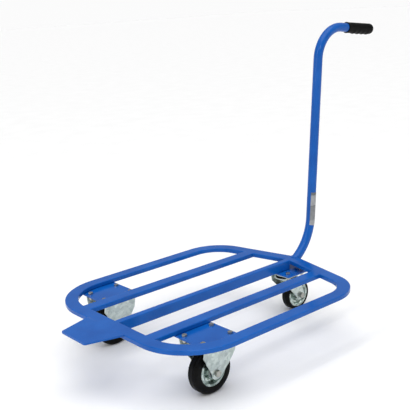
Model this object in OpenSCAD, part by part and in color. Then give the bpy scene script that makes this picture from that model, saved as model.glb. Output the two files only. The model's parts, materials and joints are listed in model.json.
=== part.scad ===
// Three-wheel platform trolley: a deck of flat steel tube on two fixed front casters and one
// rear swivel caster, with a tongue plate in front and a bent push handle welded on at the rear.
// X runs along the deck from the tongue to the handle, Y across it, Z up from the floor.

/* [Deck] */
// Length of the deck from its front edge to the point of its bowed rear edge
deck_l = 725; // [690:5:760]
// Width of the deck over its side tubes
deck_w = 640; // [620:5:680]
// Width of the flat tube of the deck
tube_w = 38; // [34:1:40]
// Height of the flat tube of the deck
tube_h = 14; // [12:1:16]
// Outer radius of the two front corners
front_corner_r = 165; // [150:5:180]
// Outer radius of the two rear corners
rear_corner_r = 125; // [110:5:130]
// Angle by which each half of the rear edge slants back to its middle
bow_angle = 12.4; // [10:0.2:14]
// Distance of each slat's middle from the middle of the deck
slat_y = 145; // [140:1:150]

/* [Spine and tongue] */
// Width of the tube on edge along the middle of the deck
spine_w = 20; // [18:1:24]
// Height of the tube on edge along the middle of the deck
spine_h = 30; // [26:1:34]
// Length of the tongue plate in front of the deck
tongue_l = 98; // [80:1:110]
// Width of the tongue plate where it meets the deck
tongue_root_w = 168; // [150:2:180]
// Width of the tongue plate at its tip
tongue_tip_w = 110; // [90:2:120]

/* [Handle] */
// Diameter of the handle tube
handle_d = 28; // [26:1:32]
// Lean of the handle's post away from upright
handle_lean = 5.7; // [4:0.1:8]
// Length of the straight post between its two bends
post_l = 495; // [400:5:600]
// Centre line radius of the lower bend
foot_bend_r = 160; // [150:5:170]
// Centre line radius of the upper bend
top_bend_r = 100; // [90:5:120]
// Length of the straight tube behind the upper bend
arm_l = 146; // [140:1:170]
// Length of the rubber grip
grip_l = 126; // [110:1:135]

/* [Wheels] */
// Diameter of the two front wheels
front_wheel_d = 125; // [120:1:128]
// Width of the front tyres
front_tyre_w = 34; // [30:1:36]
// Height of the fixed front casters, from the floor to the top of the plate
front_caster_h = 154; // [150:1:160]
// Diameter of the rear wheel
rear_wheel_d = 100; // [96:1:102]
// Width of the rear tyre
rear_tyre_w = 28; // [26:1:30]
// Distance of the rear axle behind the swivel axis
rear_trail = 40; // [36:1:44]

/* [Caster places] */
// Distance of the front casters' centres in front of the middle of the deck
front_caster_x = 200; // [195:1:210]
// Distance of the front casters' centres from the middle of the deck
front_caster_y = 217; // [214:1:222]
// Distance of the swivel axis behind the middle of the deck
swivel_x = 314; // [308:1:318]

/* [Hidden] */
$fn = 48;

PAINT = "royalblue";
ZINC = "silver";
RUBBER = [0.08, 0.08, 0.08];
STEEL = "gray";
FAR = 1000;               // larger than any part, for cutting blocks
FIT = 0.05;               // radial clearance of a running fit

wall = 1.5;               // wall of every tube
tube_edge_r = 3;          // outer edge radius of the deck's tubes
weld_t = 4;               // thickness of the welded caster plates
tongue_t = 5;             // thickness of the tongue plate
tongue_tip_r = 8;         // radius of the tongue's two front corners

deck_h = front_caster_h + weld_t + tube_h;          // top of the deck
tube_z = deck_h - tube_h / 2;                       // middle height of the flat tube
spine_z = deck_h - spine_h / 2;
rear_caster_h = deck_h - spine_h - weld_t;

// Centre line of the rim
ring_y = deck_w / 2 - tube_w / 2;
ring_front_x = -deck_l / 2 + tube_w / 2;
apex_x = deck_l / 2 - tube_w / 2 / cos(bow_angle);
front_bend_r = front_corner_r - tube_w / 2;
rear_bend_r = rear_corner_r - tube_w / 2;
front_bend = [ring_front_x + front_bend_r, ring_y - front_bend_r];
// Straight length from the point of the bow to a rear bend, and where the front tube starts
bow_run_l = (ring_y - rear_bend_r + rear_bend_r * sin(bow_angle)) / cos(bow_angle);
rear_joint_x = apex_x - rear_bend_r * cos(bow_angle) - bow_run_l * sin(bow_angle);
inner_front_x = -deck_l / 2 + tube_w;
inner_apex_x = deck_l / 2 - tube_w / cos(bow_angle);

// Handle, drawn with its post upright and the post's lower end at the origin
post_foot = [deck_l / 2 + 71.2, deck_h + 113];
foot_angle = 30;          // slope of the tube where it leaves the deck
foot_turn = 90 - foot_angle - handle_lean;
arm_x = top_bend_r + arm_l;
arm_y = post_l + top_bend_r;
grip_t = 3.2;             // rubber around the tube
grip_cap_t = 5;           // rubber past the end of the tube
grip_x = arm_x + grip_cap_t;
grip_r = handle_d / 2 + grip_t;
grip_nose_r = 11;         // rounding of the grip's closed end
// The trolley's rearmost point, on the rounded end of the leaning grip
rear_x = post_foot.x + (grip_x - grip_nose_r) * cos(handle_lean)
  + (arm_y + grip_r - grip_nose_r) * sin(handle_lean) + grip_nose_r;

// The origin is under the middle of the whole trolley, on the floor
origin_x = -(rear_x - deck_l / 2 - tongue_l) / 2;

// Casters
plate_t = 4;
axle_r = 5;
front_leg_t = 2.5;
front_plate = [105, 95];
front_holes = [90, 72];
front_leg_top_y = 46;     // outer face of a leg under the plate
front_leg_axle_y = 26;    // outer face of a leg at the axle
front_face_y = 30.5;      // outer face of the boss around the axle
front_sleeve_l = 43;
front_rim_r = 40;
front_hub_l = 39;
rear_plate = [85, 105];
rear_holes = [60, 74];
rear_leg_t = 2.5;
rear_leg_top_y = 33;
rear_leg_axle_y = 23;
rear_face_y = 26;
rear_sleeve_l = 39;
rear_rim_r = 39.5;
rear_hub_l = 35;
kingpin_r = 6;
upper_ball_r = 3;
lower_ball_r = 2.5;
ball_gap = 0.2;           // play left between a ball and its races, taken together
crown_t = 3.5;
lower_race_t = 4;
race_z = rear_caster_h - plate_t - 6;                   // underside of the upper race
crown_z = race_z - 2 * upper_ball_r - ball_gap;         // top of the fork's crown
lower_race_z = crown_z - crown_t - 2 * lower_ball_r - ball_gap;
mount_bolt_r = 4;
mount_hex_r = 7.2;        // heads and nuts are measured over their corners
axle_hex_r = 9;
axle_washer_r = 10;
axle_seat_r = 10.5;       // flat face around the axle
axle_play = 0.2;          // gap between a boss and the bolt's head or the washer
hub_bore_r = 12;
sleeve_r = 7;

module on_deck() {
  translate([origin_x, 0, 0]) children();
}

// side is -1 on the left, where y is negative, and 1 on the right
module at_front_caster(side) {
  on_deck() translate([-front_caster_x, side * front_caster_y, 0])
    mirror([0, side < 0 ? 0 : 1, 0]) children();
}

module at_swivel() {
  on_deck() translate([swivel_x, 0, 0]) children();
}

module at_rear_axle() {
  at_swivel() translate([rear_trail, 0, rear_wheel_d / 2]) children();
}

module along_y() {
  rotate([90, 0, 0]) children();
}

module rounded_rect(w, h, r) {
  square([w - 2 * r, h], center = true);
  square([w, h - 2 * r], center = true);
  for (x = [-1, 1], y = [-1, 1])
    translate([x * (w / 2 - r), y * (h / 2 - r)]) circle(r);
}

module tube_section(w, h) {
  difference() {
    rounded_rect(w, h, tube_edge_r);
    rounded_rect(w - 2 * wall, h - 2 * wall, tube_edge_r - wall);
  }
}

// A level run of tube from p to q, at the height z of its middle
module tube_run(p, q, z, w, h) {
  run = q - p;
  translate([p.x, p.y, z])
    rotate([0, 0, atan2(run.y, run.x)])
      rotate([90, 0, 90])
        linear_extrude(norm(run)) tube_section(w, h);
}

// The front of the deck's rim: one tube bent into a U, with both sides of the deck
module front_tube() {
  color(PAINT) on_deck() {
    tube_run([ring_front_x, -front_bend.y], [ring_front_x, front_bend.y], tube_z, tube_w, tube_h);
    for (side = [-1, 1]) {
      translate([front_bend.x, side * front_bend.y, tube_z])
        rotate([0, 0, side > 0 ? 90 : 180]) rotate_extrude(angle = 90, $fn = 96)
          translate([front_bend_r, 0]) tube_section(tube_w, tube_h);
      tube_run([front_bend.x, side * ring_y], [rear_joint_x, side * ring_y],
        tube_z, tube_w, tube_h);
    }
  }
}

// One half of the rim's rear tube, drawn along y from the point of the bow
module rear_half() {
  past_mitre = 10;
  intersection() {
    translate([apex_x, 0, tube_z]) rotate([0, 0, bow_angle]) {
      translate([0, -past_mitre, 0]) rotate([-90, 0, 0])
        linear_extrude(bow_run_l + past_mitre) tube_section(tube_w, tube_h);
      translate([-rear_bend_r, bow_run_l, 0]) rotate_extrude(angle = 90 - bow_angle, $fn = 96)
        translate([rear_bend_r, 0]) tube_section(tube_w, tube_h);
    }
    translate([0, 0, -FAR / 2]) cube(FAR);
  }
}

// The rear of the rim: one tube with two bends and a bowed middle, welded to the front tube
module rear_tube() {
  color(PAINT) on_deck() {
    rear_half();
    mirror([0, 1, 0]) rear_half();
  }
}

// Everything inside the rim tube's straight front and bowed rear
module inside_ring() {
  drop = FAR / 2 * tan(bow_angle);
  linear_extrude(FAR, center = true)
    polygon([
      [inner_front_x, -FAR / 2], [inner_apex_x - drop, -FAR / 2],
      [inner_apex_x, 0],
      [inner_apex_x - drop, FAR / 2], [inner_front_x, FAR / 2]
    ]);
}

module slat(side) {
  color(PAINT) on_deck() intersection() {
    tube_run([-deck_l / 2, side * slat_y], [deck_l / 2, side * slat_y], tube_z, tube_w, tube_h);
    inside_ring();
  }
}

module left_slat() {
  slat(-1);
}

module right_slat() {
  slat(1);
}

module centre_spine() {
  color(PAINT) on_deck() intersection() {
    tube_run([-deck_l / 2, 0], [deck_l / 2, 0], spine_z, spine_w, spine_h);
    inside_ring();
  }
}

// A corner of an outline, rounded to radius r between the directions a0 and a1
function arc_points(centre, r, a0, a1, n = 6) =
  [for (i = [0:n]) let (a = a0 + (a1 - a0) * i / n) centre + r * [cos(a), sin(a)]];

module tongue_plate() {
  root = [-deck_l / 2, tongue_root_w / 2];
  tip = [-deck_l / 2 - tongue_l, tongue_tip_w / 2];
  // Turn from the tongue's front edge to its slanting side
  slant = atan2(root.y - tip.y, tongue_l);
  corner = [
    tip.x + tongue_tip_r,
    tip.y - tongue_tip_r * tan((90 - slant) / 2)
  ];
  half = concat([root], arc_points(corner, tongue_tip_r, 90 + slant, 180));
  other_half = [for (i = [len(half) - 1 : -1 : 0]) [half[i].x, -half[i].y]];
  color(PAINT) on_deck() translate([0, 0, deck_h - tongue_t])
    linear_extrude(tongue_t) polygon(concat(half, other_half));
}

module rounded_plate(size, r, t) {
  linear_extrude(t) rounded_rect(size.x, size.y, r);
}

module at_holes(holes) {
  for (x = [-1, 1], y = [-1, 1])
    translate([x * holes.x / 2, y * holes.y / 2, 0]) children();
}

// A plate welded under the tubes, with the caster's four bolt holes
module weld_plate(size, shift_y, holes) {
  difference() {
    translate([0, shift_y, 0]) rounded_plate(size, 3, weld_t);
    at_holes(holes) translate([0, 0, -1]) cylinder(r = mount_bolt_r + 0.5, h = weld_t + 2);
  }
}

module front_weld_plate(side) {
  gap_middle = (slat_y + deck_w / 2 - tube_w / 2) / 2;
  color(PAINT) at_front_caster(side) translate([0, 0, front_caster_h])
    weld_plate([118, 148], front_caster_y - gap_middle, front_holes);
}

module left_weld_plate() {
  front_weld_plate(-1);
}

module right_weld_plate() {
  front_weld_plate(1);
}

module rear_weld_plate() {
  color(PAINT) at_swivel() translate([0, 0, rear_caster_h])
    weld_plate([94, 114], 0, rear_holes);
}

// Puts a shape drawn in the handle's own frame into place: x towards the grip, y up the post
module at_handle() {
  on_deck() translate([post_foot.x, 0, post_foot.y])
    rotate([0, handle_lean, 0]) rotate([90, 0, 0]) children();
}

module handle_path() {
  translate([-foot_bend_r, 0])
    rotate_extrude(angle = -foot_turn, $fn = 96) translate([foot_bend_r, 0]) children();
  rotate([-90, 0, 0]) linear_extrude(post_l) children();
  translate([top_bend_r, post_l]) rotate([0, 0, 90])
    rotate_extrude(angle = 90, $fn = 96) translate([top_bend_r, 0]) children();
  translate([top_bend_r, arm_y]) rotate([0, 90, 0]) linear_extrude(arm_l) children();
}

module handle_section() {
  difference() {
    circle(d = handle_d);
    circle(d = handle_d - 2 * wall);
  }
}

// The block that the deck fills, which the foot of the handle is cut to fit
module deck_block() {
  drop = deck_w * tan(bow_angle);
  on_deck() linear_extrude(deck_h)
    polygon([[0, -deck_w], [deck_l / 2 - drop, -deck_w], [deck_l / 2, 0],
      [deck_l / 2 - drop, deck_w], [0, deck_w]]);
}

module handle_tube() {
  color(PAINT) difference() {
    at_handle() handle_path() handle_section();
    deck_block();
  }
}

module handle_grip() {
  bumps = 4;
  bump_pitch = 22;
  bump_r = 5.5;
  bump_w = 22;
  first_bump = 26;
  color(RUBBER) at_handle() translate([grip_x, arm_y]) {
    // Sleeve with a closed, rounded end
    rotate([0, -90, 0]) rotate_extrude() difference() {
      union() {
        translate([0, grip_nose_r]) square([grip_r, grip_l - grip_nose_r]);
        square([grip_r - grip_nose_r, grip_nose_r]);
        translate([grip_r - grip_nose_r, grip_nose_r]) intersection() {
          circle(grip_nose_r);
          translate([0, -grip_nose_r]) square(grip_nose_r);
        }
      }
      translate([0, grip_cap_t]) square([handle_d / 2 + FIT, grip_l]);
    }
    // Finger ridges across the underside
    for (i = [0 : bumps - 1])
      translate([-first_bump - i * bump_pitch, -grip_r, 0]) intersection() {
        cylinder(r = bump_r, h = bump_w, center = true);
        translate([0, 2 - bump_r, 0]) cube([2 * bump_r, 2 * bump_r, bump_w], center = true);
      }
  }
}

// A blank label around part of the post and of the bend below it
module handle_label() {
  label_t = 0.4;
  on_post = 82;           // length on the straight post
  on_bend = 8.6;          // degrees of the bend below the post
  middle = 98;            // angle around the tube of the label's middle
  half_angle = 48;
  color("gainsboro") at_handle() {
    translate([-foot_bend_r, 0]) rotate_extrude(angle = -on_bend, $fn = 96)
      translate([foot_bend_r, 0]) label_section(label_t, middle, half_angle);
    rotate([-90, 0, 0]) linear_extrude(on_post)
      mirror([0, 1]) label_section(label_t, middle, half_angle);
  }
}

module label_section(t, middle, half_angle) {
  intersection() {
    difference() {
      circle(r = handle_d / 2 + t);
      circle(r = handle_d / 2 + 0.01);
    }
    polygon(concat([[0, 0]], [for (i = [-1 : 1])
      2 * handle_d * [cos(middle + i * half_angle), sin(middle + i * half_angle)]]));
  }
}

module hex_head(r, h) {
  cylinder(r = r, h = h, $fn = 6);
}

module mounting_bolts(holes, z_top, stack) {
  head_h = 5.3;
  past_plates = 9;
  color(ZINC) at_holes(holes) translate([0, 0, z_top]) {
    hex_head(mount_hex_r, head_h);
    translate([0, 0, -stack - past_plates])
      cylinder(r = mount_bolt_r, h = stack + past_plates);
  }
}

module mounting_nuts(holes, z_bottom) {
  nut_h = 6.5;
  color(ZINC) at_holes(holes) translate([0, 0, z_bottom - nut_h]) difference() {
    hex_head(mount_hex_r, nut_h);
    translate([0, 0, -1]) cylinder(r = mount_bolt_r + FIT, h = nut_h + 2);
  }
}

// A strip of pressed sheet of even thickness t along the points p, as an outline
function strip(p, t) = concat(
  [for (q = p) q + [0, t / 2]],
  [for (i = [len(p) - 1 : -1 : 0]) p[i] - [0, t / 2]]
);

// One leg of a fork, upright in its own frame: x along the leg's face, y outwards, and z up
// from the axle. folds is the leg's cross-section and the children are its side outline.
module fork_leg(folds, t, top) {
  intersection() {
    translate([0, 0, -40]) linear_extrude(top + 40) polygon(strip(folds, t));
    along_y() linear_extrude(60, center = true) children();
  }
}

// The pair of legs leaning in towards the axle, each with a flat boss and a bore at the axle
module fork_legs(folds, t, axle_z, top_z, top_y, axle_y, sleeve_l, boss_r, face_y) {
  lean = atan2(top_y - axle_y, top_z - axle_z);
  boss_t = face_y - sleeve_l / 2;
  difference() {
    for (side = [-1, 1]) mirror([0, side < 0 ? 1 : 0, 0]) {
      intersection() {
        translate([0, axle_y - t / 2, 0]) rotate([-lean, 0, 0])
          fork_leg(folds, t, 2 * (top_z - axle_z)) children();
        translate([-FAR / 2, 0, -axle_z]) cube([FAR, FAR, top_z + 1]);
      }
      translate([0, face_y, 0]) along_y() cylinder(r = boss_r, h = boss_t);
    }
    // Flat faces under the axle bolt's head and its nut
    for (side = [-1, 1]) translate([0, side * (face_y + FAR / 2), 0])
      along_y() cylinder(r = axle_seat_r, h = FAR, center = true);
    along_y() cylinder(r = axle_r + 0.1, h = FAR, center = true);
  }
}

module front_bracket() {
  half = front_plate.x / 2;
  folds = [[-half - 1, 5], [-35, 0], [0, 4], [35, 0], [half + 1, 5]];
  color(ZINC) {
    difference() {
      translate([0, 0, front_caster_h - plate_t])
        rounded_plate(front_plate, 8, plate_t);
      at_holes(front_holes) translate([0, 0, front_caster_h - plate_t - 1])
        cylinder(r = mount_bolt_r + 0.5, h = plate_t + 2);
    }
    translate([0, 0, front_wheel_d / 2])
      fork_legs(folds, front_leg_t, front_wheel_d / 2, front_caster_h - plate_t,
        front_leg_top_y, front_leg_axle_y, front_sleeve_l, 13, front_face_y)
        polygon([[-half, 100], [-half, 62], [-44, 50], [-16, 2], [-13, -10], [-5, -18],
          [10, -20], [22, -14], [39, 12], [half, 52], [half, 100]]);
  }
}

module axle_bolt(face_y) {
  head_h = 6.4;
  thread_l = 11;
  end = face_y + axle_play;
  color(ZINC) along_y() {
    translate([0, 0, end]) hex_head(axle_hex_r, head_h);
    translate([0, 0, -end - thread_l]) cylinder(r = axle_r, h = 2 * end + thread_l);
  }
}

module axle_nut(face_y) {
  washer_t = 1.8;
  nut_h = 8;
  end = face_y + axle_play;
  color(ZINC) along_y() translate([0, 0, -end - washer_t - nut_h]) difference() {
    union() {
      hex_head(axle_hex_r, nut_h);
      translate([0, 0, nut_h]) cylinder(r = axle_washer_r, h = washer_t);
    }
    translate([0, 0, -1]) cylinder(r = axle_r + FIT, h = washer_t + nut_h + 2);
  }
}

module axle_sleeve(l) {
  color(STEEL) along_y() difference() {
    cylinder(r = sleeve_r, h = l, center = true);
    cylinder(r = axle_r + 0.1, h = l + 2, center = true);
  }
}

// Rubber ring whose foot wedges between the two rim halves
module tyre(r, w, rim_r) {
  edge_r = min(8, (r - rim_r) / 2 - 1);
  foot = w / 2 - 3.4;
  root = rim_r + 0.3;
  color(RUBBER) along_y() rotate_extrude($fn = 96) {
    translate([(r + root) / 2, 0]) rounded_rect(r - root, w, edge_r);
    translate([root, 1 - w / 2]) square([edge_r, w - 2]);
    polygon([[rim_r - 10, -3], [rim_r - 5.7, -foot], [root + 2, -foot],
      [root + 2, foot], [rim_r - 5.7, foot], [rim_r - 10, 3]]);
  }
}

// One pressed half of the steel rim, on the side that side points to. From the hub outwards it
// is a collar, a cone, a flat web, the sloping seat of the tyre and a flange around its edge.
module rim_half(side, w, rim_r, hub_r, hub_l) {
  t = 1.8;
  face = w / 2 - 2.2;
  web = 4;
  collar = hub_l / 2 - 4;
  color(ZINC) along_y() mirror([0, 0, side < 0 ? 0 : 1]) rotate_extrude($fn = 96)
    polygon(strip([[hub_r, collar], [hub_r + 4, collar], [hub_r + 8, web],
      [rim_r - 11, web], [rim_r - 6, face], [rim_r, face]], t));
}

module hub(l) {
  color(STEEL) along_y() difference() {
    cylinder(r = hub_bore_r + 3, h = l, center = true);
    cylinder(r = hub_bore_r, h = l + 2, center = true);
  }
}

// Ten rollers held by a ring at each end, between the axle sleeve and the hub
module rollers(l) {
  roller_r = (hub_bore_r - sleeve_r) / 2 - FIT;
  pitch_r = (hub_bore_r + sleeve_r) / 2;
  count = 10;
  ring_t = 2;
  color(STEEL) along_y() {
    for (i = [0 : count - 1]) rotate([0, 0, i * 360 / count])
      translate([pitch_r, 0, 0]) cylinder(r = roller_r, h = l - ring_t, center = true);
    for (s = [-1, 1]) translate([0, 0, s * (l - ring_t) / 2]) difference() {
      cylinder(r = hub_bore_r - 0.6, h = ring_t, center = true);
      cylinder(r = sleeve_r + 0.6, h = ring_t + 2, center = true);
    }
  }
}

// The front casters, drawn once for the left side and mirrored for the right
module at_front_axle(side) {
  at_front_caster(side) translate([0, 0, front_wheel_d / 2]) children();
}

module front_bolts(side) {
  at_front_caster(side)
    mounting_bolts(front_holes, front_caster_h + weld_t, weld_t + plate_t);
}

module front_nuts(side) {
  at_front_caster(side) mounting_nuts(front_holes, front_caster_h - plate_t);
}

module front_tyre(side) {
  at_front_axle(side) tyre(front_wheel_d / 2, front_tyre_w, front_rim_r);
}

module front_rim(side, half) {
  at_front_axle(side)
    rim_half(half, front_tyre_w, front_rim_r, hub_bore_r + 3, front_hub_l);
}

module left_bracket() {
  at_front_caster(-1) front_bracket();
}

module left_mounting_bolts() {
  front_bolts(-1);
}

module left_mounting_nuts() {
  front_nuts(-1);
}

module left_axle_bolt() {
  at_front_axle(-1) axle_bolt(front_face_y);
}

module left_axle_nut() {
  at_front_axle(-1) axle_nut(front_face_y);
}

module left_axle_sleeve() {
  at_front_axle(-1) axle_sleeve(front_sleeve_l);
}

module left_tyre() {
  front_tyre(-1);
}

module left_outer_rim() {
  front_rim(-1, -1);
}

module left_inner_rim() {
  front_rim(-1, 1);
}

module left_hub() {
  at_front_axle(-1) hub(front_hub_l);
}

module left_rollers() {
  at_front_axle(-1) rollers(front_hub_l - 1);
}

module right_bracket() {
  at_front_caster(1) front_bracket();
}

module right_mounting_bolts() {
  front_bolts(1);
}

module right_mounting_nuts() {
  front_nuts(1);
}

module right_axle_bolt() {
  at_front_axle(1) axle_bolt(front_face_y);
}

module right_axle_nut() {
  at_front_axle(1) axle_nut(front_face_y);
}

module right_axle_sleeve() {
  at_front_axle(1) axle_sleeve(front_sleeve_l);
}

module right_tyre() {
  front_tyre(1);
}

module right_outer_rim() {
  front_rim(1, -1);
}

module right_inner_rim() {
  front_rim(1, 1);
}

module right_hub() {
  at_front_axle(1) hub(front_hub_l);
}

module right_rollers() {
  at_front_axle(1) rollers(front_hub_l - 1);
}

// The rear swivel caster
module rear_top_plate() {
  color(ZINC) at_swivel() difference() {
    union() {
      translate([0, 0, rear_caster_h - plate_t]) rounded_plate(rear_plate, 8, plate_t);
      translate([0, 0, race_z]) cylinder(r = 33, h = rear_caster_h - plate_t - race_z);
    }
    translate([0, 0, race_z - 1]) cylinder(r = kingpin_r + 0.1, h = 20);
    at_holes(rear_holes) translate([0, 0, rear_caster_h - plate_t - 1])
      cylinder(r = mount_bolt_r + 0.5, h = plate_t + 2);
  }
}

module rear_mounting_bolts() {
  at_swivel() mounting_bolts(rear_holes, rear_caster_h + weld_t, weld_t + plate_t);
}

module rear_mounting_nuts() {
  at_swivel() mounting_nuts(rear_holes, rear_caster_h - plate_t);
}

module kingpin() {
  head_h = 5;
  pin_z = lower_race_z - lower_race_t;
  color(ZINC) at_swivel() {
    translate([0, 0, pin_z]) cylinder(r = kingpin_r, h = rear_caster_h - pin_z);
    translate([0, 0, pin_z - head_h]) hex_head(10, head_h);
  }
}

module ball_ring(count, pitch_r, ball_r, z) {
  color(STEEL) at_swivel() for (i = [0 : count - 1]) rotate([0, 0, i * 360 / count])
    translate([pitch_r, 0, z]) sphere(r = ball_r, $fn = 24);
}

module upper_balls() {
  ball_ring(16, 24, upper_ball_r, crown_z + upper_ball_r + ball_gap / 2);
}

module lower_balls() {
  ball_ring(12, 13, lower_ball_r, lower_race_z + lower_ball_r + ball_gap / 2);
}

module lower_race() {
  color(ZINC) at_swivel() difference() {
    translate([0, 0, lower_race_z - lower_race_t]) cylinder(r = 18, h = lower_race_t);
    translate([0, 0, lower_race_z - 5]) cylinder(r = kingpin_r + FIT, h = 6);
  }
}

module dust_ring() {
  color(RUBBER) at_swivel() difference() {
    translate([0, 0, crown_z + 0.4]) cylinder(r = 32, h = race_z - crown_z - 0.4);
    translate([0, 0, crown_z - 1]) cylinder(r = 29, h = 20);
  }
}

module rear_fork() {
  folds = [[-80, 3], [-45, 0], [-20, 3], [5, 0], [30, 3]];
  crown_r = 37;
  axle_z = rear_wheel_d / 2;
  reach = rear_trail + 32;
  top = crown_z - axle_z;
  color(ZINC) at_swivel() difference() {
    union() {
      translate([0, 0, crown_z - crown_t]) cylinder(r = crown_r, h = crown_t, $fn = 96);
      translate([rear_trail, 0, axle_z])
        fork_legs(folds, rear_leg_t, axle_z, crown_z - 2, rear_leg_top_y, rear_leg_axle_y,
          rear_sleeve_l, 12, rear_face_y) {
            polygon([[-reach, top + 10], [-reach + 2, top - 16], [-12, -10], [-6, -15],
              [6, -15], [14, -8], [15, 4], [-8, top - 14], [-8, top + 10]]);
        }
    }
    translate([0, 0, crown_z - 10]) cylinder(r = kingpin_r + 0.6, h = 20);
  }
}

module rear_axle_bolt() {
  at_rear_axle() axle_bolt(rear_face_y);
}

module rear_axle_nut() {
  at_rear_axle() axle_nut(rear_face_y);
}

module rear_axle_sleeve() {
  at_rear_axle() axle_sleeve(rear_sleeve_l);
}

module rear_tyre() {
  at_rear_axle() tyre(rear_wheel_d / 2, rear_tyre_w, rear_rim_r);
}

module rear_rim(half) {
  at_rear_axle() rim_half(half, rear_tyre_w, rear_rim_r, hub_bore_r + 3, rear_hub_l);
}

module rear_outer_rim() {
  rear_rim(-1);
}

module rear_inner_rim() {
  rear_rim(1);
}

module rear_hub() {
  at_rear_axle() hub(rear_hub_l);
}

module rear_rollers() {
  at_rear_axle() rollers(rear_hub_l - 1);
}

front_tube();
rear_tube();
left_slat();
right_slat();
centre_spine();
tongue_plate();
left_weld_plate();
right_weld_plate();
rear_weld_plate();
handle_tube();
handle_grip();
handle_label();
left_bracket();
left_mounting_bolts();
left_mounting_nuts();
left_axle_bolt();
left_axle_nut();
left_axle_sleeve();
left_tyre();
left_outer_rim();
left_inner_rim();
left_hub();
left_rollers();
right_bracket();
right_mounting_bolts();
right_mounting_nuts();
right_axle_bolt();
right_axle_nut();
right_axle_sleeve();
right_tyre();
right_outer_rim();
right_inner_rim();
right_hub();
right_rollers();
rear_top_plate();
rear_mounting_bolts();
rear_mounting_nuts();
kingpin();
upper_balls();
lower_balls();
lower_race();
dust_ring();
rear_fork();
rear_axle_bolt();
rear_axle_nut();
rear_axle_sleeve();
rear_tyre();
rear_outer_rim();
rear_inner_rim();
rear_hub();
rear_rollers();
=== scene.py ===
"""Looks of a three-wheel platform trolley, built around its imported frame. Metres, Z up."""

import json
import math

import bpy
from mathutils import Matrix, Vector, noise


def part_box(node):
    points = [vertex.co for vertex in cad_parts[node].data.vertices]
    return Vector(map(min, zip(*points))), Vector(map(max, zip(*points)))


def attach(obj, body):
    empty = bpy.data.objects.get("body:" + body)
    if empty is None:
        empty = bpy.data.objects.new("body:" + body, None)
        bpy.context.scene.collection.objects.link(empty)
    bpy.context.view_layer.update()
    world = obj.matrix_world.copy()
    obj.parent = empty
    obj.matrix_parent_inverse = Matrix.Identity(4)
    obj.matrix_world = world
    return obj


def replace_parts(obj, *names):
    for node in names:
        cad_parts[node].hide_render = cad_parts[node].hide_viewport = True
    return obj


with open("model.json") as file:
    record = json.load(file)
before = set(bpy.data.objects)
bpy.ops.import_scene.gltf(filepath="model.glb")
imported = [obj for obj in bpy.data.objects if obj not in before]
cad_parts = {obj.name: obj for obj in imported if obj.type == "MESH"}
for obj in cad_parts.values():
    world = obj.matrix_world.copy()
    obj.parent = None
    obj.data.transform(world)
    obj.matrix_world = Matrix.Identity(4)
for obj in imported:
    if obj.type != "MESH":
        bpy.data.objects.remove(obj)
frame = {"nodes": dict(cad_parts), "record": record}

MM = 0.001
TAU = 2 * math.pi
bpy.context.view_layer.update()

# Places read from the frame
FRONT_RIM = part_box("front_tube")
REAR_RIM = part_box("rear_tube")
MIDDLE_X = (FRONT_RIM[0].x + REAR_RIM[1].x) / 2
DECK_TOP = FRONT_RIM[1].z
TUBE_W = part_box("left_slat")[1].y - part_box("left_slat")[0].y
TUBE_H = FRONT_RIM[1].z - FRONT_RIM[0].z
TUBE_EDGE = 3 * MM
BOW = math.radians(12.4)           # slant of each half of the deck's rear edge
LEAN = math.radians(5.7)           # lean of the handle's post
HANDLE_R = 14 * MM
FOOT_BEND_R = 160 * MM             # centre line of the handle's lower bend
POST_BEHIND = 71.2 * MM            # lower end of the straight post, behind the point of the bow
POST_ABOVE = 113 * MM              # and above the deck's top


# ---------------------------------------------------------------- camera, floor and light

def make_camera():
    """The camera that was solved from the straight edges of the photo's deck."""
    yaw, pitch, roll = math.radians(50.05), math.radians(14.76), math.radians(-3.245)
    place = Vector((MIDDLE_X - 1.3455, -1.6041, 0.9696))
    ahead = Vector((math.cos(yaw) * math.cos(pitch), math.sin(yaw) * math.cos(pitch), -math.sin(pitch)))
    level = Vector((math.sin(yaw), -math.cos(yaw), 0))
    upright = level.cross(ahead)
    right = level * math.cos(roll) + upright * math.sin(roll)
    up = upright * math.cos(roll) - level * math.sin(roll)
    data = bpy.data.cameras.new("camera")
    data.sensor_width = 36
    data.lens = 67.9
    data.clip_start = 0.05
    data.clip_end = 60
    camera = bpy.data.objects.new("camera", data)
    bpy.context.scene.collection.objects.link(camera)
    turn = Matrix((right, up, -ahead)).transposed().to_4x4()
    camera.matrix_world = Matrix.Translation(place) @ turn
    bpy.context.scene.camera = camera


def add_light(name, data, place, towards):
    """Puts a light at a place, shining along the direction towards."""
    light = bpy.data.objects.new(name, data)
    light.location = place
    light.rotation_euler = Vector(towards).to_track_quat("-Z", "Y").to_euler()
    bpy.context.scene.collection.objects.link(light)


def strip_light(name, place, aim, width, height, power):
    """A rectangular light that faces the point aim."""
    data = bpy.data.lights.new(name, "AREA")
    data.shape = "RECTANGLE"
    data.size = width
    data.size_y = height
    data.energy = power
    add_light(name, data, place, Vector(aim) - Vector(place))


def make_sky():
    """A world as bright at the horizon as the far floor, darker above it and bright overhead."""
    stops = ((0, 0.968), (0.10, 0.968), (0.24, 0.30), (0.9, 0.80))
    world = bpy.data.worlds.new("studio")
    world.use_nodes = True
    tree = world.node_tree
    place = tree.nodes.new("ShaderNodeTexCoord")
    split = tree.nodes.new("ShaderNodeSeparateXYZ")
    sky = tree.nodes.new("ShaderNodeValToRGB")
    tree.links.new(place.outputs["Generated"], split.inputs["Vector"])
    tree.links.new(split.outputs["Z"], sky.inputs["Fac"])
    tree.links.new(sky.outputs["Color"], tree.nodes["Background"].inputs["Color"])
    set_stops(sky, [(height, (level, level, level)) for height, level in stops])
    bpy.context.scene.world = world


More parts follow.
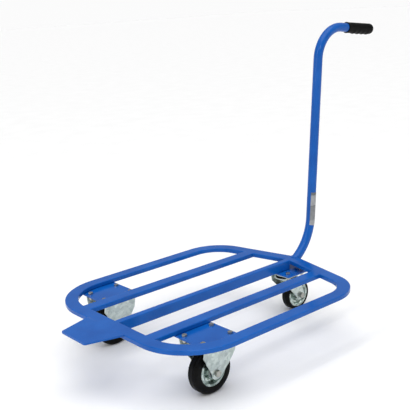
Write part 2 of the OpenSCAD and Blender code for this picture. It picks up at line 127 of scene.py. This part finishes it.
def make_studio():
    """The sky, a wide soft sun from above, and two strips for long reflections."""
    bpy.context.scene.view_settings.view_transform = "Standard"
    make_sky()
    sun = bpy.data.lights.new("overhead", "SUN")
    sun.energy = 1.5
    sun.angle = math.radians(60)
    add_light("overhead", sun, (0, 0, 0), (0.10, 0.25, -1))
    strip_light("key", (-3.2, -0.2, 2.2), (0.3, 0, 0.4), 0.18, 2.6, 24)
    strip_light("front", (-2.2, -2.8, 3.2), (0, 0, 0.3), 1.2, 0.25, 18)


def make_floor():
    """A wide pale floor, which the sky meets at its own brightness."""
    half = 40
    corners = [(-half, -half, 0), (half, -half, 0), (half, half, 0), (-half, half, 0)]
    mesh = bpy.data.meshes.new("floor")
    mesh.from_pydata(corners, [], [(0, 1, 2, 3)])
    floor = bpy.data.objects.new("floor", mesh)
    bpy.context.scene.collection.objects.link(floor)
    material, nodes = new_material("pale_floor")
    shades = ramp(nodes, noise_texture(nodes, 6, 4),
                  (0.3, (0.90, 0.90, 0.90)), (0.7, (0.93, 0.93, 0.93)))
    nodes.link(shades, "Base Color")
    nodes.shader.inputs["Roughness"].default_value = 0.75
    floor.data.materials.append(material)


# ---------------------------------------------------------------- materials

class Nodes:
    """A material's node tree with its Principled shader and object coordinates at hand."""

    def __init__(self, material):
        self.tree = material.node_tree
        self.shader = self.tree.nodes["Principled BSDF"]
        self.place = self.tree.nodes.new("ShaderNodeTexCoord").outputs["Object"]

    def new(self, kind):
        return self.tree.nodes.new(kind)

    def join(self, source, socket):
        self.tree.links.new(source, socket)

    def link(self, source, name):
        self.join(source, self.shader.inputs[name])


def new_material(name):
    """A material that is ready for nodes, together with its Nodes."""
    material = bpy.data.materials.new(name)
    material.use_nodes = True
    return material, Nodes(material)


def noise_texture(nodes, scale, detail, stretch=(1, 1, 1)):
    """Noise in object space, with scale in features per metre."""
    made = nodes.new("ShaderNodeTexNoise")
    made.inputs["Scale"].default_value = scale
    made.inputs["Detail"].default_value = detail
    mapping = nodes.new("ShaderNodeMapping")
    mapping.inputs["Scale"].default_value = stretch
    nodes.join(nodes.place, mapping.inputs["Vector"])
    nodes.join(mapping.outputs["Vector"], made.inputs["Vector"])
    return made.outputs["Fac"]


def set_stops(ramp_node, stops):
    """Sets a colour ramp's stops, each a position and a colour."""
    elements = ramp_node.color_ramp.elements
    while len(elements) < len(stops):
        elements.new(0.5)
    for element, (position, colour) in zip(elements, stops):
        element.position = position
        element.color = (*colour, 1)


def ramp(nodes, source, *stops):
    """Colours along the values of the socket source."""
    made = nodes.new("ShaderNodeValToRGB")
    set_stops(made, stops)
    nodes.join(source, made.inputs["Fac"])
    return made.outputs["Color"]


def multiply(nodes, first, second):
    """Two colours multiplied."""
    made = nodes.new("ShaderNodeMix")
    made.data_type = "RGBA"
    made.blend_type = "MULTIPLY"
    made.inputs["Factor"].default_value = 1
    nodes.join(first, made.inputs["A"])
    nodes.join(second, made.inputs["B"])
    return made.outputs["Result"]


def bump(nodes, source, strength, depth, under=None):
    """A bumped normal from the heights in the socket source, over the normal under."""
    made = nodes.new("ShaderNodeBump")
    made.inputs["Strength"].default_value = strength
    made.inputs["Distance"].default_value = depth
    nodes.join(source, made.inputs["Height"])
    if under is not None:
        nodes.join(under, made.inputs["Normal"])
    return made.outputs["Normal"]


def roughness_from(nodes, source, low, high):
    """Lets the roughness vary between low and high with the values of the socket source."""
    made = nodes.new("ShaderNodeMapRange")
    made.inputs["To Min"].default_value = low
    made.inputs["To Max"].default_value = high
    nodes.join(source, made.inputs["Value"])
    nodes.link(made.outputs["Result"], "Roughness")


def blue_paint():
    """Glossy powder coat with orange peel, faint mottling and fine specks."""
    material, nodes = new_material("blue_paint")
    mottle = ramp(nodes, noise_texture(nodes, 14, 5),
                  (0.3, (0.002, 0.080, 0.365)), (0.7, (0.005, 0.106, 0.440)))
    specks = ramp(nodes, noise_texture(nodes, 420, 3), (0.35, (0.92, 0.92, 0.92)), (0.65, (1, 1, 1)))
    nodes.link(multiply(nodes, mottle, specks), "Base Color")
    waves = bump(nodes, noise_texture(nodes, 60, 2), 0.03, 0.6 * MM)
    nodes.link(bump(nodes, noise_texture(nodes, 520, 1), 0.06, 0.25 * MM, waves), "Normal")
    roughness_from(nodes, noise_texture(nodes, 30, 4), 0.10, 0.22)
    nodes.shader.inputs["Specular IOR Level"].default_value = 0.22
    return material


def zinc(name, dark, light, crystals_per_m, rough):
    """Galvanised, plated or bare steel: crystals of different greys, clouded and brushed."""
    material, nodes = new_material(name)
    crystals = nodes.new("ShaderNodeTexVoronoi")
    crystals.inputs["Scale"].default_value = crystals_per_m
    nodes.join(nodes.place, crystals.inputs["Vector"])
    grey = ramp(nodes, crystals.outputs["Color"], (0.1, dark), (0.9, light))
    clouds = ramp(nodes, noise_texture(nodes, 35, 5), (0.35, (0.86, 0.87, 0.86)), (0.65, (1, 1, 1)))
    nodes.link(multiply(nodes, grey, clouds), "Base Color")
    nodes.shader.inputs["Metallic"].default_value = 0.95
    roughness_from(nodes, noise_texture(nodes, 90, 4), rough - 0.08, rough + 0.10)
    facets = bump(nodes, crystals.outputs["Distance"], 0.03, 0.3 * MM)
    brushed = noise_texture(nodes, 700, 2, stretch=(0.12, 1, 1))
    nodes.link(bump(nodes, brushed, 0.06, 0.1 * MM, facets), "Normal")
    return material


def rubber(name, dark, light, rough):
    """Black rubber with a dusty bloom and a fine moulded grain."""
    material, nodes = new_material(name)
    nodes.link(ramp(nodes, noise_texture(nodes, 45, 6), (0.3, dark), (0.75, light)), "Base Color")
    roughness_from(nodes, noise_texture(nodes, 160, 4), rough - 0.08, rough + 0.08)
    nodes.shader.inputs["Specular IOR Level"].default_value = 0.08
    nodes.link(bump(nodes, noise_texture(nodes, 1800, 2), 0.15, 0.15 * MM), "Normal")
    return material


def plain_label():
    """A blank panel in plain bands. From the top: dark, pale, a thin dark rule, mid grey, pale."""
    material, nodes = new_material("blank_label")
    low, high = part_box("handle_label")
    split = nodes.new("ShaderNodeSeparateXYZ")
    nodes.join(nodes.place, split.inputs["Vector"])
    along = nodes.new("ShaderNodeMapRange")
    along.inputs["From Min"].default_value = low.z
    along.inputs["From Max"].default_value = high.z
    nodes.join(split.outputs["Z"], along.inputs["Value"])
    pale, mid, dark = (0.36, 0.37, 0.38), (0.24, 0.25, 0.26), (0.13, 0.14, 0.15)
    bands = ramp(nodes, along.outputs["Result"], (0, pale), (0.16, pale), (0.19, mid), (0.58, mid),
                 (0.60, dark), (0.62, pale), (0.90, pale), (0.92, dark))
    dirt = ramp(nodes, noise_texture(nodes, 120, 5), (0.3, (0.72, 0.72, 0.72)), (0.7, (1, 1, 1)))
    nodes.link(multiply(nodes, bands, dirt), "Base Color")
    nodes.shader.inputs["Roughness"].default_value = 0.38
    nodes.link(bump(nodes, noise_texture(nodes, 300, 2), 0.05, 0.2 * MM), "Normal")
    return material


BY_SLOT = {
    "blue_paint": blue_paint(),
    "galvanised_sheet": zinc("galvanised_sheet", (0.42, 0.49, 0.47), (0.66, 0.73, 0.70), 110, 0.30),
    "zinc_rim": zinc("zinc_rim", (0.14, 0.20, 0.18), (0.66, 0.75, 0.71), 130, 0.20),
    "zinc_fastener": zinc("zinc_fastener", (0.30, 0.31, 0.29), (0.52, 0.51, 0.46), 500, 0.30),
    "bearing_steel": zinc("bearing_steel", (0.28, 0.28, 0.29), (0.40, 0.40, 0.41), 600, 0.30),
    "wheel_rubber": rubber("wheel_rubber", (0.001, 0.001, 0.001), (0.006, 0.006, 0.006), 0.40),
    "grip_rubber": rubber("grip_rubber", (0.001, 0.001, 0.001), (0.004, 0.004, 0.004), 0.50),
    "seal_rubber": rubber("seal_rubber", (0.008, 0.008, 0.008), (0.022, 0.022, 0.022), 0.60),
    "blank_label": plain_label(),
}


# ---------------------------------------------------------------- mesh tools

def piece(name, points, faces, body, slot):
    """A smooth mesh piece that rides on a body and takes its finish from a slot."""
    mesh = bpy.data.meshes.new(name)
    mesh.from_pydata([tuple(p) for p in points], [], faces)
    mesh.materials.append(BY_SLOT[slot])
    mesh.validate()
    for polygon in mesh.polygons:
        polygon.use_smooth = True
    mesh.set_sharp_from_angle(angle=math.radians(40))
    made = bpy.data.objects.new(name, mesh)
    bpy.context.scene.collection.objects.link(made)
    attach(made, body)
    return made


def ring_faces(rings, count, closed=False):
    """Quads between rings of count points each, stored one ring after the other."""
    last = rings if closed else rings - 1
    return [(i * count + j, i * count + (j + 1) % count,
             (i + 1) % rings * count + (j + 1) % count, (i + 1) % rings * count + j)
            for i in range(last) for j in range(count)]


def arc(centre, radius, start, end, steps):
    """Points of an arc as (across, out) pairs; angles in degrees from the outward direction."""
    angles = [math.radians(start + (end - start) * i / steps) for i in range(steps + 1)]
    return [(centre[0] + radius * math.sin(a), centre[1] + radius * math.cos(a)) for a in angles]


# ---------------------------------------------------------------- tyres

def tyre_profile(radius, half_w, rim_r):
    """The tyre's outline across its width as (across, out) points, one side to the other."""
    shoulder = min(9 * MM, (radius - rim_r) * 0.55)
    crown = 0.7 * MM                   # drop of the tread from its middle to its edges
    groove_at = half_w * 0.38
    groove_half_w = 0.9 * MM
    floor_half_w = groove_half_w * 0.55
    groove_depth = 1.1 * MM
    top_steps = 4
    # The side wall, from the foot out: distances in mm inwards from the side and out from the rim
    wall = ((3.6, -6), (3.6, -1), (2.0, 0.4), (0.7, 2.2), (0.1, 5))
    side = [(-half_w + inset * MM, rim_r + rise * MM) for inset, rise in wall]
    edge = arc((-half_w + shoulder, radius - shoulder - crown), shoulder, -88, -14, 7)
    start, stop = edge[-1][0], -groove_at - groove_half_w
    tread = [start + (stop - start) * k / top_steps for k in range(1, top_steps + 1)]
    top = [(x, radius - crown * (x / half_w) ** 2) for x in tread]
    groove = [(-groove_at - floor_half_w, radius - groove_depth),
              (-groove_at + floor_half_w, radius - groove_depth),
              (-groove_at + groove_half_w, radius - 0.1 * MM)]
    half = side + edge + top + groove
    return half + [(0, radius)] + [(-x, r) for x, r in reversed(half)]


def make_tyre(name, body, notches):
    """A moulded tyre with two grooves, and notches around each shoulder."""
    low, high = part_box(name)
    rim_low, rim_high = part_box(name.replace("tyre", "outer_rim"))
    centre = (low + high) / 2
    radius, half_w = (high.z - low.z) / 2, (high.y - low.y) / 2
    profile = tyre_profile(radius, half_w, (rim_high.z - rim_low.z) / 2)
    steps_per_notch = 5
    notch_from, notch_to = half_w * 0.55, half_w * 0.93
    notch_depth, notch_reach = 0.7 * MM, 8 * MM
    turns = notches * steps_per_notch
    points = []
    for i in range(turns):
        angle = TAU * i / turns
        for across, out in profile:
            on_shoulder = notch_from < abs(across) < notch_to and out > radius - notch_reach
            r = out - notch_depth if on_shoulder and i % steps_per_notch == 0 else out
            points.append((centre.x + r * math.sin(angle), centre.y + across,
                           centre.z + r * math.cos(angle)))
    faces = ring_faces(turns, len(profile), closed=True)
    made = piece(name + "_moulded", points, faces, body, "wheel_rubber")
    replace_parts(made, name)


# ---------------------------------------------------------------- grip

def grip_stations(radius, length, nose):
    """(along, out) pairs of the grip's outline: its mouth with a lip, its sleeve, its round nose."""
    bore_r = 14.1 * MM
    lip_l, lip_h = 4 * MM, 0.5 * MM
    begin, steps = 1 * MM, 220
    mouth = [(0, bore_r), (0, radius - 0.8 * MM), (0.5 * MM, radius - 0.2 * MM)]
    sleeve = []
    for i in range(steps + 1):
        s = begin + (length - nose - begin) * i / steps
        sleeve.append((s, radius - lip_h if s > lip_l else radius))
    nose_centre = (length - nose, radius - lip_h - nose)
    return mouth + sleeve + arc(nose_centre, nose, 8, 86, 13)


def wave(turns):
    """A smooth wave between 0 and 1 that is 1 at every whole turn."""
    return 0.5 + 0.5 * math.cos(TAU * turns)


def grip_relief(s, length, nose, below):
    """
    Height over the plain sleeve at s: swells for the fingers and fine ribs elsewhere.
    below is 1 along the grip's underside and falls to 0 at its sides and above them.
    """
    from_end = length - s
    swell_h, swell_pitch, first_swell = 2.0 * MM, 22 * MM, 26 * MM
    swells_from, swells_to = 14 * MM, 104 * MM
    rib_depth, rib_pitch, ribs_from = 0.22 * MM, 2.4 * MM, 8 * MM
    relief = 0
    if swells_from < from_end < swells_to:
        relief += swell_h * below ** 2 * wave((from_end - first_swell) / swell_pitch)
    if ribs_from < s < length - nose:
        relief -= rib_depth * wave(s / rib_pitch) * (1 - below ** 2)
    return relief


def make_grip():
    """A moulded sleeve with finger swells below, fine ribs around, a lip and a round nose."""
    low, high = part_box("handle_grip")
    radius = (high.y - low.y) / 2
    along = Vector((math.cos(LEAN), 0, -math.sin(LEAN)))
    up = Vector((math.sin(LEAN), 0, math.cos(LEAN)))
    start = Vector((low.x + radius * math.sin(LEAN), 0, high.z - radius * math.cos(LEAN)))
    # The leaning end's upper edge reaches past its axis, which its rounding cuts to this share
    edge_reach = 0.55
    length = (high.x - start.x) / math.cos(LEAN) - radius * math.tan(LEAN) * edge_reach
    nose = 12 * MM
    count = 48
    stations = grip_stations(radius, length, nose)
    points = []
    for s, r in stations:
        for j in range(count):
            turn = TAU * j / count
            out = r + grip_relief(s, length, nose, max(0, -math.cos(turn)))
            points.append(start + along * s + up * (out * math.cos(turn))
                          + Vector((0, out * math.sin(turn), 0)))
    faces = ring_faces(len(stations), count)
    tip = len(points)
    points.append(start + along * length)
    faces += [(tip - count + j, tip - count + (j + 1) % count, tip) for j in range(count)]
    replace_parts(piece("grip_moulded", points, faces, "frame", "grip_rubber"), "handle_grip")


# ---------------------------------------------------------------- welds

def tube_outline(half_w, height, edge):
    """A rounded tube section as (across, up) points, with up measured from its top."""
    points = []
    for side, centre_up, start in ((1, -edge, 0), (1, edge - height, 90),
                                   (-1, edge - height, 180), (-1, -edge, 270)):
        points += arc((side * (half_w - edge), centre_up), edge, start, start + 90, 4)
    return points


def make_flush_weld(name, y, half_w, height, x_from, x_to, slant=0):
    """Weld metal ground flush between a tube's end and the rounded edge of the rim."""
    lift = 0.04 * MM
    outline = tube_outline(half_w, height, TUBE_EDGE)
    points = [(x - abs(y + across) * slant, y + across, DECK_TOP + up + lift)
              for x in (x_from, x_to) for across, up in outline]
    count = len(outline)
    faces = ring_faces(2, count)
    faces += [tuple(range(count)), tuple(reversed(range(count, 2 * count)))]
    piece(name, points, faces, "frame", "blue_paint")


def make_bead(name, path, radius):
    """A weld bead: a swept round that ripples and wanders a little along its path."""
    count = 8
    spacing = 0.7 * MM
    end_size = 0.35                    # share of the radius that is left at both ends
    ripple, ripple_steps = 0.10, 4     # share of the radius, and steps from one ripple to the next
    wander, wander_per_m = 0.14, 260   # share of the radius, and features per metre
    spaced = []
    for a, b in zip(path, path[1:]):
        steps = max(1, round((b - a).length / spacing))
        spaced += [a.lerp(b, k / steps) for k in range(steps)]
    spaced.append(path[-1])
    last = len(spaced) - 1
    points = []
    for i, p in enumerate(spaced):
        along = (spaced[i + 1] - p if i < last else p - spaced[i - 1]).normalized()
        side = along.cross(Vector((0, 0, 1)))
        side = side.normalized() if side.length > 0.01 else Vector((0, 1, 0))
        up = side.cross(along)
        r = radius * (1 + ripple * math.sin(TAU * i / ripple_steps)
                      + wander * noise.noise(p * wander_per_m))
        if i in (0, last):
            r *= end_size
        for j in range(count):
            turn = TAU * j / count
            points.append(p + side * (r * math.cos(turn)) + up * (r * math.sin(turn)))
    faces = ring_faces(len(spaced), count)
    faces += [tuple(reversed(range(count))), tuple(range(len(points) - count, len(points)))]
    piece(name, points, faces, "frame", "blue_paint")


def make_tube_welds(node, inner_front, inner_apex, reach):
    """The flush welds at both ends of a slat or the spine, and the beads in its four corners."""
    low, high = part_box(node)
    y, half_w = (low.y + high.y) / 2, (high.y - low.y) / 2
    depth = min(high.z - low.z, TUBE_H)
    slant = math.tan(BOW)
    bottom, top = DECK_TOP - TUBE_H + 1 * MM, DECK_TOP - 1.6 * MM
    # A flush weld spans the rim's rounded edge and laps the tube's end a little
    make_flush_weld(node + "_front_weld", y, half_w, depth,
                    inner_front - reach, inner_front + 0.4 * MM)
    make_flush_weld(node + "_rear_weld", y, half_w, depth,
                    inner_apex - 0.6 * MM, inner_apex + reach, slant)
    for side, side_name in ((-1, "left"), (1, "right")):
        corner = y + side * half_w
        for x, end in ((inner_front, "front"), (inner_apex - abs(corner) * slant, "rear")):
            path = [Vector((x, corner, bottom)), Vector((x, corner, top))]
            make_bead(f"{node}_{end}_bead_{side_name}", path, 1.5 * MM)


def make_tongue_welds(reach):
    """The flush weld on top of the tongue's root, and the bead below it."""
    low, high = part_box("tongue_plate")
    half_root = (high.y - low.y) / 2
    root_x = FRONT_RIM[0].x
    make_flush_weld("tongue_weld", 0, half_root, 5 * MM, root_x - 0.3 * MM, root_x + reach)
    bead_half, bead_z = half_root - 4 * MM, low.z - 0.2 * MM
    path = [Vector((root_x, side * bead_half, bead_z)) for side in (-1, 1)]
    make_bead("tongue_bead", path, 2.2 * MM)


def make_rim_welds():
    """The joints of the slats, the spine and the tongue with the rim."""
    reach = TUBE_EDGE + 0.3 * MM
    inner_front = FRONT_RIM[0].x + TUBE_W
    inner_apex = REAR_RIM[1].x - TUBE_W / math.cos(BOW)
    for node in ("left_slat", "right_slat", "centre_spine"):
        make_tube_welds(node, inner_front, inner_apex, reach)
    make_tongue_welds(reach)


def tubes_over(node, low, high):
    """Where tubes cross the front and rear edges of a weld plate, as (from, to) pairs of y."""
    spine_half_w = 10 * MM
    short_of_side = 12 * MM            # a bead stops this far inside the rim's outer side
    if node == "rear_weld_plate":
        return [(-spine_half_w, spine_half_w)]
    side = -1 if low.y < 0 else 1
    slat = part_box("left_slat" if side < 0 else "right_slat")
    slat_near, slat_far = sorted((abs(slat[0].y), abs(slat[1].y)))
    near, far = sorted((abs(low.y), abs(high.y)))
    rim_outer = FRONT_RIM[1].y
    return [sorted((side * max(slat_near, near), side * slat_far)),
            sorted((side * (rim_outer - TUBE_W), side * min(far, rim_outer - short_of_side)))]


def make_plate_welds():
    """Beads where the tubes cross the edges of the weld plates."""
    inset = 2 * MM
    for node in ("left_weld_plate", "right_weld_plate", "rear_weld_plate"):
        low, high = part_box(node)
        for i, (y0, y1) in enumerate(tubes_over(node, low, high)):
            for x, end in ((low.x, "front"), (high.x, "rear")):
                path = [Vector((x, y0 + inset, high.z)), Vector((x, y1 - inset, high.z))]
                make_bead(f"{node}_bead_{end}_{i}", path, 1.7 * MM)


def make_handle_weld():
    """The bead around the handle's foot, where it lands on the point of the bow."""
    post_x, post_z = REAR_RIM[1].x + POST_BEHIND, DECK_TOP + POST_ABOVE
    centre = Vector((post_x - FOOT_BEND_R * math.cos(LEAN), 0,
                     post_z + FOOT_BEND_R * math.sin(LEAN)))
    # Where the bend's centre line crosses the deck's top, and how steep it is there
    angle = math.asin((DECK_TOP - centre.z) / FOOT_BEND_R)
    cross = centre + FOOT_BEND_R * Vector((math.cos(angle), 0, math.sin(angle)))
    steep = math.cos(angle)
    steps = 40
    short_of_edge = 1 * MM             # the bead stops this far inside the deck's rear edge
    path = []
    for i in range(steps + 1):
        turn = math.radians(90 + 180 * i / steps)
        x = cross.x + HANDLE_R / steep * math.cos(turn)
        y = HANDLE_R * math.sin(turn)
        if x < REAR_RIM[1].x - abs(y) * math.tan(BOW) - short_of_edge:
            path.append(Vector((x, y, DECK_TOP + 0.2 * MM)))
    make_bead("handle_weld", path, 2.3 * MM)


# ---------------------------------------------------------------- dressing the frame's nodes

def dress_nodes():
    """Gives every node of the frame the finish that its row in the record names."""
    slots = {row["node"]: row["material_slot"] for row in frame["record"]["subparts"]}
    for node, made in frame["nodes"].items():
        made.data.materials.clear()
        made.data.materials.append(BY_SLOT[slots[node]])


make_camera()
make_studio()
make_floor()
dress_nodes()
make_tyre("left_tyre", "left_wheel", 60)
make_tyre("right_tyre", "right_wheel", 60)
make_tyre("rear_tyre", "rear_wheel", 48)
make_grip()
make_rim_welds()
make_plate_welds()
make_handle_weld()
